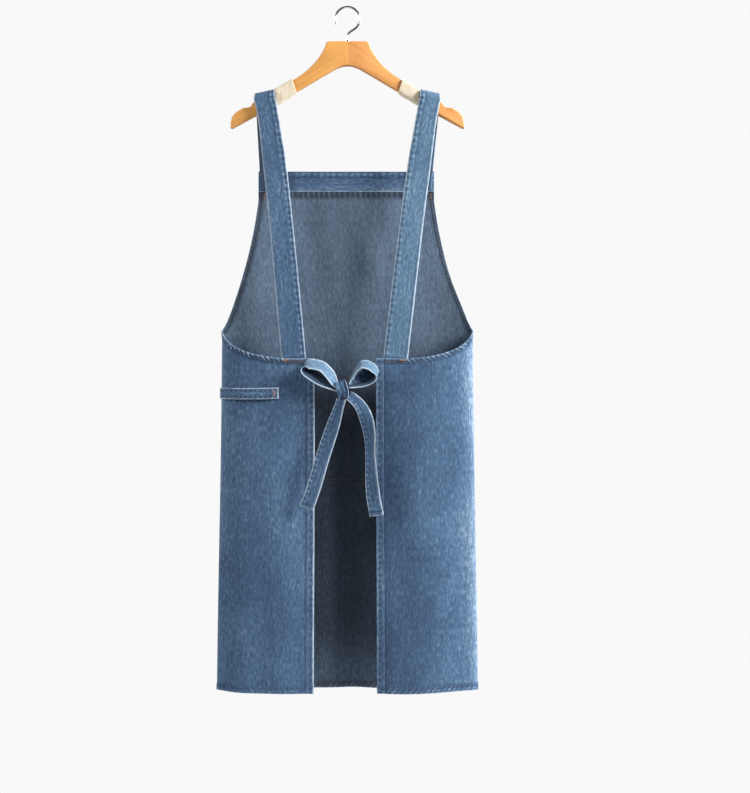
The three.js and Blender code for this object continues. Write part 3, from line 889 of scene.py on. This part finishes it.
def strap_edges(sewn):
    """The strap's folded edges, a painted shadow where the bib's top edge crosses it at length sewn, and
    painted shade on the front run.
    """
    edges = folded_edges(3.4 * MM, 10.5 * MM, 0.9)

    def effect(v, d, a):
        lift, wear_and_painted_light, painted_shade = edges(v, d, a)
        # Painted shadow across the strap at the bib's top edge.
        bar = bump(a, sewn - 1.5 * MM, 3 * MM)
        foot = bump(a, 16 * MM, 2 * MM)
        pale = bump(a, sewn + 2.5 * MM, 2 * MM) + bump(a, 19.5 * MM, 1.6 * MM)
        # Painted shade on the front run, which hangs behind the bib: its pale edges dimmed and the whole
        # run darkened.
        shaded_front_run = smooth(sewn - 150 * MM, sewn - 120 * MM, a)
        wear_and_painted_light = wear_and_painted_light * (1 - 0.85 * shaded_front_run) + 0.5 * pale - 0.6 * bar
        return lift, np.clip(wear_and_painted_light, 0, 1), painted_shade + 1.2 * bar + 0.6 * foot + 0.3 * shaded_front_run

    return effect


def make_strap(name, side, back_x):
    _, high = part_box(f"shoulder_strap_{name}")
    pivot = high.z - 1.6 * MM - STRAP_TILT * 17 * MM - STRAP_GAP
    back_y = -tube_depth(BACK_DEPTH, STRAP_SEWN_X) + 5.5 * MM
    front_y = tube_depth(FRONT_DEPTH, BIB_HALF) - 5 * MM
    turn = np.linspace(math.pi, 0, 22)
    radius = STRAP_GAP + 0.9 * MM
    back_rows = np.linspace(0, 1, 150, endpoint=False)
    front_rows = shares(50)[1:]
    back = packed(back_y + (-radius - back_y) * back_rows,
                     STRAP_BACK_END_Z + (pivot - STRAP_BACK_END_Z) * back_rows)
    over = packed(radius * np.cos(turn), pivot + radius * np.sin(turn))
    front_level = pivot + (STRAP_FRONT_END_Z - pivot) * front_rows
    front = packed(radius + (front_y - radius) * seat_share(front_level, pivot), front_level)
    y, z = np.vstack([back, over, front]).T
    is_back = y < 0
    drop = np.clip(pivot - z, 0, None)
    run = drop / (pivot - np.where(is_back, STRAP_BACK_END_Z, STRAP_FRONT_END_Z))
    end_x = np.where(is_back, back_x, STRAP_BIB_X)
    sway = -STRAP_SWAY[name] * np.sin(math.pi * np.clip(run, 0, 1) ** 0.6) * is_back
    x = STRAP_TOP_X + (end_x - STRAP_TOP_X) * run + sway
    belly = 3.0 * MM * np.sin(math.pi * run) ** 2 * is_back
    centre = packed(side * x + lean_at(z) * ~is_back * seat_share(z, pivot), y - belly, z)
    fade = np.clip(1 - drop / (60 * MM), 0, 1)
    across = packed(np.full(len(z), float(side)), np.zeros(len(z)), -STRAP_TILT * fade)
    wide = np.where(is_back, 17.9 + 2.0 * smooth(0.05, 0.3, run) + 0.8 * smooth(0.4, 0.9, run), 17.0) * MM
    sewn = path_length(centre)[-1] - (BIB_TOP_Z - STRAP_FRONT_END_Z)
    edges = strap_edges(sewn)
    # The right strap takes the lighter denim copy, painted light; both straps get painted shade on their
    # inner face.
    cloth = DENIM_PAINTED_LIT if side > 0 else DENIM_FACE
    made = ribbon(f"strap_{name}", centre, across, wide, 2.0 * MM, cloth, edges, face_shade=-0.8 * side)
    sewn_piece(made, f"shoulder_strap_{name}")
    return centre, unit(across), wide


# ---- Strips on the panels ----
def make_band():
    edge = FRONT.s_of(BIB_HALF - 1 * MM)
    s = np.linspace(-edge, edge, 190)
    z = np.full(len(s), BIB_TOP_Z - BAND_HEIGHT / 2)
    centre = surface(FRONT, s, z, bib_folds(s, z) + skirt_folds(FRONT, s, z) - 1.9 * MM)

    def effect(v, d, a):
        down = v + BAND_HEIGHT / 2
        pulse = wave(TAU * a / (10.5 * MM) + 0.7 * np.sin(a / (50 * MM)))
        # Painted highlights on the puckers, painted shade in the stitch holes, and a painted shadow near
        # one end beside a strap; the top edge is darker and the lower fold pale.
        ovals = bump(down, 5 * MM, 2.2 * MM) * pulse**1.5
        holes = bump(down, 9.5 * MM, 1.8 * MM) * (0.5 + 0.5 * (1 - pulse))
        lower = bump(v, BAND_HEIGHT / 2, 1.6 * MM)
        ends = bump(a, 56 * MM, 7 * MM)
        wear_and_painted_light = 0.85 * lower + 0.5 * ovals + 0.12 * smooth(20 * MM, 30 * MM, down)
        painted_shade = 0.6 * holes + 0.3 * bump(down, 0.5 * MM, 1.2 * MM) + 0.45 * ends
        return limited(0.4 * MM * ovals - 0.2 * MM * holes, wear_and_painted_light, painted_shade)

    across = np.tile([0.0, 0.0, -1.0], (len(s), 1))
    made = ribbon("bib_band", centre, across, BAND_HEIGHT / 2, 1.4 * MM, DENIM_FACE, effect)
    sewn_piece(made, "bib_top_band")


def make_towel_loop():
    inner = BACK.s_of(0.116)
    low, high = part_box("towel_loop")
    s = -np.linspace(BACK.length - 0.5 * MM, inner, 90)
    share = shares(len(s))
    lift = 1.6 * MM + 5.0 * MM * np.sin(math.pi * share) ** 0.8
    z = np.full(len(s), (low.z + high.z) / 2) - 1.2 * MM * np.sin(math.pi * share)
    centre = surface(BACK, s, z, lift + skirt_folds(BACK, s, z))
    across = np.tile([0.0, 0.0, 1.0], (len(s), 1))
    half = (high.z - low.z) / 2 - 0.2 * MM

    def effect(v, d, a):
        pulse = wave(TAU * a / (8.5 * MM))
        # Painted shade in the stitch holes.
        holes = bump(d, 4.2 * MM, 1.5 * MM) * smooth(0.3, 0.7, pulse)
        end = bump(a, a.max(), 2.4 * MM)
        wear_and_painted_light = 0.2 + 0.6 * bump(d, 0.4 * MM, 1.3 * MM) + 0.9 * end
        return limited(-0.25 * MM * holes, wear_and_painted_light, holes)

    made = ribbon("loop_strip", centre, across, half, 1.8 * MM, DENIM_FACE, effect)
    sewn_piece(made, "towel_loop")
    return centre, half


strap_lines = {
    "left": make_strap("left", -1, STRAP_BACK_X[-1]),
    "right": make_strap("right", 1, STRAP_BACK_X[1]),
}
make_band()
loop_line, loop_half = make_towel_loop()


# ---- Pocket ----
def make_pocket():
    low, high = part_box("front_pocket")
    half = FRONT.s_of(0.150)
    share = spread(2.0, 0.022, 0.008, 0.08) - 1
    rows = high.z - spread(high.z - low.z, 3.2 * MM, 1.3 * MM, 14 * MM)
    s, z = np.meshgrid(share * half, rows)
    top, bottom = high.z, low.z
    height = np.clip((z - bottom) / (top - bottom), 0, 1)
    full = 7 * MM * np.abs(np.sin(math.pi * s / half)) ** 0.7 * np.sqrt(height)
    edge = np.min([half - np.abs(s), z - bottom], 0)
    side_hem = hem_effect(edge, z + s, 4 * MM, 8 * MM, 0.6, 1, 2.2 * MM)
    mouth = hem_effect(top - z, s, 16 * MM, 9 * MM, 0.5, 0.4, 14 * MM)
    split = np.abs(s)
    # Painted shade along the pocket's middle seam, with a pale line beside it.
    middle = (np.zeros_like(s), 0.35 * bump(split, 3 * MM, 1.5 * MM), 0.7 * bump(split, 0, 2 * MM))
    lift, wear_and_painted_light, painted_shade = combine([side_hem, mouth, middle])
    lift = lift * 0.6 + full + 1.9 * MM + skirt_folds(FRONT, s, z)
    made = cloth_panel("pocket_patch", FRONT, s, z, lift, wear_and_painted_light, painted_shade)
    sewn_piece(made, "front_pocket")
    return half, low.z, high.z


pocket_half, pocket_low, pocket_high = make_pocket()


# ---- Bow ----
KNOT_LOW, KNOT_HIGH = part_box("bow_knot")
KNOT = np.array((KNOT_LOW + KNOT_HIGH) / 2)
TIE_HALF = 12 * MM


def tie_edges(stitched=True, base=0.0):
    return folded_edges(2.7 * MM, 9 * MM, 1.0, stitched, base)


def make_bow_loop(name, rim, shift, front_y):
    """A loop whose near edge follows rim (x, z in mm), with the cloth running back and upwards."""
    count = 70
    line = spline(np.array(rim) * MM, count)
    right, up = np.array(shift) * MM
    back = np.array([right, math.sqrt((2 * TIE_HALF) ** 2 - right**2 - up**2), up])
    share = shares(count)
    scale = 0.45 + 0.55 * smooth(0, 0.18, share) * smooth(1, 0.82, share)
    near = packed(line[:, 0], np.full(count, front_y), line[:, 1])
    across = back * scale[:, None]
    centre = near + across / 2
    half = np.linalg.norm(across, axis=1) / 2
    # Painted light: a pale base over the whole loop, and the lighter denim copy; painted shade on the
    # loop's inner face.
    edges = tie_edges(False, 0.18)
    made = ribbon(f"bow_{name}", centre, across, half, 1.5 * MM, DENIM_PAINTED_LIT, edges, face_shade=0.9)
    sewn_piece(made, f"bow_loop_{name}")


def make_knot():
    """The tie's own turn round the middle, gathered into creases."""
    turn = np.linspace(0, TAU, 61)
    lean = 0.20
    height = (KNOT_HIGH.z - KNOT_LOW.z) / 2 - 0.5 * MM
    depth = (KNOT_HIGH.y - KNOT_LOW.y) / 2 - 1 * MM
    z = height * np.sin(turn)
    centre = packed(KNOT[0] - lean * z, KNOT[1] - depth * np.cos(turn), KNOT[2] + z)
    across = packed(np.ones(61), 0.25 * np.sin(turn), lean + 0.35 * np.sin(turn))
    half = (9.8 - 2.6 * np.abs(np.sin(turn)) ** 3) * MM

    def effect(v, d, a):
        crease = wave(TAU * v / (8 * MM) + 1.2 * np.sin(TAU * a / (36 * MM)))
        place = 3.6 * MM + 1.5 * MM * np.sin(TAU * a / (60 * MM))
        fold = bump(v, place + 1.3 * MM, 1.0 * MM)
        # Painted highlights on the crease tops, painted shade in their hollows and under the fold, and a
        # pale line along the fold.
        wear_and_painted_light = 0.7 * bump(d, 0, 1 * MM) + 0.12 * crease + 0.55 * bump(v, place, 0.8 * MM)
        painted_shade = 0.8 * fold + 0.25 * (1 - crease)
        return limited(1.2 * MM * crease - 0.8 * MM * fold, wear_and_painted_light, painted_shade)

    made = ribbon("knot_wrap", centre, across, half, 2.2 * MM, DENIM_FACE, effect, sag=2.0 * MM)
    sewn_piece(made, "bow_knot")


def make_tail(name, places, twist):
    """A free tie end. places are (x, y, z) in mm, twist turns the cloth about its length."""
    centre = spline(np.array(places) * MM, 90)
    tangent = tangents(centre)
    share = shares(90)
    first, middle, last = twist
    turn = first + (middle - first) * smooth(0, 0.5, share) + (last - middle) * smooth(0.5, 0.95, share)
    flat = unit(np.cross(tangent, np.array([0, 1.0, 0])))
    depth = np.cross(tangent, flat)
    across = flat * np.cos(turn)[:, None] + depth * np.sin(turn)[:, None]
    wide = TIE_HALF * (0.74 + 0.26 * smooth(0, 0.3, share))
    edges = tie_edges()

    def effect(v, d, a):
        lift, wear_and_painted_light, painted_shade = edges(v, d, a)
        end = a.max() - a
        wear_and_painted_light = wear_and_painted_light + 0.9 * bump(end, 0, 1.2 * MM)
        # Painted shade just inside the turned-up end.
        painted_shade = np.maximum(painted_shade, 0.8 * bump(end, 7 * MM, 1.1 * MM))
        return limited(lift + 0.5 * MM * (1 - smooth(7 * MM, 9 * MM, end)), wear_and_painted_light, painted_shade)

    made = ribbon(f"tail_{name}", centre, across, wide, 1.5 * MM, DENIM_FACE, effect)
    finish_piece(made, f"tail_{name}", "denim", f"tie_tail_{name}")


def make_tie_base(name, side, opening):
    """The tie from the inside of the panel's top corner, behind the bow loop, to the knot."""
    z = BACK_TOP_Z - 16 * MM
    begin = np.array([side * (opening + 12 * MM), -(BACK_DEPTH - 6 * MM), z])
    edge = np.array([side * (opening - 6 * MM), -(BACK_DEPTH - 4 * MM), z - 4 * MM])
    end = KNOT + np.array([0, 3 * MM, 2 * MM])
    centre = spline([begin, edge, (edge + end) / 2, end], 50)
    tangent = tangents(centre)
    across = np.cross(tangent, np.array([0, 1.0, 0]))
    wide = TIE_HALF * (0.9 - 0.5 * smooth(0.25, 0.8, shares(50)))
    made = ribbon(f"base_{name}", centre, across, wide, 1.5 * MM, DENIM_FACE, tie_edges())
    sewn_piece(made, f"tie_base_{name}")


make_bow_loop("left", [
    (-13, -656), (-20, -655), (-32, -651.5), (-46, -646), (-57, -640), (-66, -634), (-72.5, -628.5),
    (-74.5, -623.5), (-71.5, -619.5), (-64, -618), (-54, -619), (-44, -623), (-34, -633), (-24, -646),
    (-13, -652),
], (8, 16), KNOT[1] - 4 * MM)
make_bow_loop("right", [
    (2, -646), (9, -635), (16, -624), (23, -618), (32, -618), (41, -623), (46.5, -631),
    (45, -639), (36, -645), (24, -648.5), (12, -650), (2, -650),
], (4, 14.5), KNOT[1] - 3 * MM)
make_knot()
make_tail("left", [
    (-9.5, -48.6, -667.8), (-12, -49.5, -677), (-23, -50, -712), (-40, -49, -764), (-54, -48, -812),
    (-67.5, -46.5, -851),
], (0.5, 0.15, 0.1))
make_tail("right", [
    (2, -48.5, -661.5), (10, -49, -667), (22, -49.5, -679), (32, -48.5, -700), (38, -47.5, -730),
    (39.5, -47, -768), (43, -46.5, -823), (50, -46, -864),
], (-0.3, 0.8, 0.15))
make_tie_base("left", -1, OPENING_LEFT)
make_tie_base("right", 1, OPENING_RIGHT)


# ---- Stitching on the cloth ----
def back_row(stitching, side, s, z, rise, start):
    oval = BACK_SIDES[side]
    s, z = np.broadcast_arrays(s, z)
    lift = rise + skirt_folds(oval, s, z) + curl(s, z, start)
    row_on(stitching, oval, s, z + hem_drop(oval, s, z, start), lift)


def panel_stitches():
    seams = Stitching("stitches_back", THREAD_BLUE)
    for side, start, top in ((-1, left_start, left_top), (1, right_start, right_top)):
        z = np.linspace(BACK_TOP_Z - 10 * MM, HEM_Z + 10 * MM, 300)
        for inset, rise in ((5.2 * MM, 0.5 * MM), (12.0 * MM, 0.9 * MM)):
            back_row(seams, side, side * (start + inset), z, rise, start)
        s = side * np.linspace(start + 8 * MM, BACK_SIDES[side].length - 3 * MM, 160)
        back_row(seams, side, s, HEM_Z + 8 * MM, 0.5 * MM, start)
        edge = resample(top, 200)[4:-4]
        back_row(seams, side, edge[:, 0], edge[:, 1] - 6.0 * MM, 0.4 * MM, start)
    seams.build("apron")
    tops = Stitching("stitches_tops", THREAD_DARK, 0.6 * MM)
    for side, start in ((-1, left_start), (1, right_start)):
        middle_s = BACK_SIDES[side].s_of(STRAP_BACK_X[side])
        s = side * np.linspace(middle_s - 17 * MM, middle_s + 17 * MM, 40)
        for inset in (3.0 * MM, 6.5 * MM):
            back_row(tops, side, s, BACK_TOP_Z - inset, 0.9 * MM, start)
    tops.build("apron")


def front_row(stitching, s, z, rise, back=False):
    s, z = np.broadcast_arrays(s, z)
    row_on(stitching, FRONT, s, z, rise + skirt_folds(FRONT, s, z), back)


def front_stitches():
    outside = Stitching("stitches_front", THREAD_ORANGE, 0.6 * MM)
    inside = Stitching("stitches_inside", THREAD_DARK, 0.5 * MM)
    half, low, high = pocket_half, pocket_low, pocket_high
    for seams, back in ((outside, False), (inside, True)):
        rise = 0.0 if back else 2.6 * MM
        for inset in (2.2 * MM, 8 * MM):
            front_row(seams, np.linspace(-half + inset, half - inset, 200), low + inset, rise, back)
            z = np.linspace(low + inset, high - 2 * MM, 90)
            for side in (-1, 1):
                front_row(seams, side * (half - inset), z, rise, back)
        for inset in (-3 * MM, 3 * MM):
            front_row(seams, inset, np.linspace(low + 2 * MM, high - 2 * MM, 90), rise, back)
        s = np.linspace(-FRONT.length + 6 * MM, FRONT.length - 6 * MM, 240)
        front_row(seams, s, HEM_Z + 7 * MM, 0.3 * MM, back)
    s = np.linspace(-1, 1, 160) * (FRONT.s_of(BIB_HALF) - 4 * MM)
    z = BIB_TOP_Z - BAND_HEIGHT + 2 * MM
    front_row(outside, s, z, 0.4 * MM + bib_folds(s, z))
    outside.build("apron")
    inside.build("apron")


def ribbon_stitches():
    seams = Stitching("stitches_bands", THREAD_BLUE)
    for centre, across, wide in strap_lines.values():
        tangent = tangents(centre)
        side = square_to(tangent, across)
        normal = np.cross(tangent, side)
        for edge in (-1, 1):
            line = centre + side * (edge * (wide - 3.4 * MM))[:, None]
            for face in (-1, 1):
                seams.row(line + normal * face * 1.15 * MM, normal * face)
    side = np.array([0, 0, 1.0])
    out = unit(np.cross(np.gradient(loop_line, axis=0), side))
    out *= -np.sign(out[:, 1].sum())
    for edge in (-1, 1):
        seams.row(loop_line + side * edge * (loop_half - 3.6 * MM) + out * 0.95 * MM, out)
    seams.build("apron")


panel_stitches()
front_stitches()
ribbon_stitches()


# ---- Bar tacks ----
def bar_tack(name, node, upright, colour=THREAD_ORANGE):
    """A dense bar of thread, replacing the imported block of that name."""
    low, high = (np.array(corner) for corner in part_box(node))
    along, across = np.array([[0, 0, 1.0], [1.0, 0, 0]] if upright else [[1.0, 0, 0], [0, 0, 1.0]])
    seams = Stitching(name, colour, 0.5 * MM)
    size = high - low
    length, width = size @ along, size @ across
    ends = np.linspace(-0.5, 0.5, 5)[:, None] * across * width
    for share in np.linspace(-0.5, 0.5, 9):
        line = (low + high) / 2 + along * share * length + ends
        seams.add(line, np.tile([0, -1.0, 0], (5, 1)))
    seams.build("apron", node)


for side_name in ("left", "right"):
    bar_tack(f"tack_bib_{side_name}", f"bib_bar_tack_{side_name}", True, THREAD_DARK)
    bar_tack(f"tack_strap_{side_name}", f"strap_bar_tack_{side_name}", False)
bar_tack("tack_loop", "towel_loop_bar_tack", True)


# ---- Hanger ----
def cover(made, material):
    made.data.materials.clear()
    made.data.materials.append(material)


def copy_node(name, node, material, body, slot, levels=0, angle=40, seam=0.0):
    """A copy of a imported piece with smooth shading, which takes its place."""
    made = link(bpy.data.objects.new(name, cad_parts[node].data.copy()))
    cover(made, material)
    shape = bmesh.new()
    shape.from_mesh(made.data)
    bmesh.ops.remove_doubles(shape, verts=shape.verts, dist=1e-6)
    bmesh.ops.recalc_face_normals(shape, faces=shape.faces)
    for vert in shape.verts:
        if abs(vert.co.x) < seam and abs(vert.co.y) > 4 * MM:
            vert.co.x = 0.0
            vert.co.y = math.copysign(5.85 * MM, vert.co.y)
    shape.to_mesh(made.data)
    shape.free()
    made.data.polygons.foreach_set("use_smooth", np.ones(len(made.data.polygons), bool))
    made.data.set_sharp_from_angle(angle=math.radians(angle))
    if levels:
        smoother = made.modifiers.new("smooth", "SUBSURF")
        smoother.levels = smoother.render_levels = levels
    return finish_piece(made, body, slot, node)


def make_wrap(name, side):
    """A cloth wrap round the arm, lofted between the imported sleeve's two end faces."""
    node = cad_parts[f"grip_wrap_{name}"]
    corners = np.array([v.co for v in node.data.vertices])
    half_y = np.abs(corners[:, 1]).max()
    outer = corners[np.abs(corners[:, 1]) > half_y - 0.1 * MM]
    x = np.abs(outer[:, 0])
    top_inner = outer[np.argmax(outer[:, 2])]
    bottom_outer = outer[np.argmin(outer[:, 2])]
    bottom_inner = outer[np.argmin(x)]
    far = outer[x > x.max() - 0.5 * MM]
    top_outer = far[np.argmax(far[:, 2])]
    rows, columns = 46, 72
    turn = np.linspace(0, TAU, columns, endpoint=False)
    squareness = 0.42
    up, deep = (np.sign(round_) * np.abs(round_) ** squareness for round_ in (np.sin(turn), np.cos(turn)))
    share = shares(rows)
    top = top_inner + (top_outer - top_inner) * share[:, None]
    low = bottom_inner + (bottom_outer - bottom_inner) * share[:, None]
    mid, half_z = (top + low) / 2, (top - low) / 2
    ridge = np.sin(TAU * (share[:, None] * 2.3 + 0.35 * np.sin(turn))) * 0.10
    fine = np.sin(TAU * share[:, None] * 9 + 2 * np.sin(turn * 3)) * 0.04
    ends = 1 - 0.5 * (bump(share, 0, 0.02) + bump(share, 1, 0.02))[:, None]
    swell = (0.3 + ridge + fine) * MM * ends
    points = mid[:, None] + half_z[:, None] * up[:, None]
    points[..., 1] = deep * half_y
    out = packed(np.zeros_like(up), deep, up)
    points = points + unit(out) * swell[..., None]
    length = np.linalg.norm(top_outer - top_inner)
    uv = np.stack(np.meshgrid(turn * 13 * MM, share * length), -1).reshape(-1, 2)
    faces = grid_faces(rows, columns, wrap=True, flip=side > 0)
    made = make_object(f"wrap_{name}", points.reshape(-1, 3), faces, uv, materials=[WRAP_CLOTH])
    shell = made.modifiers.new("cloth", "SOLIDIFY")
    shell.thickness = 1.1 * MM
    shell.offset = -1.0
    finish_piece(made, "hanger", "grip_wrap", f"grip_wrap_{name}")


for side_name, grain in (("left", WOOD_LEFT), ("right", WOOD_RIGHT)):
    copy_node(f"wood_{side_name}", f"hanger_{side_name}_half", grain, "hanger", "wood", seam=1.2 * MM)
make_wrap("left", -1)
make_wrap("right", 1)
copy_node("hook", "hook_wire", STEEL, "hook", "steel", 2, 60)
copy_node("collar", "hook_collar", STEEL, "hook", "steel", 0, 30)
cover(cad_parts["hook_nut"], STEEL)
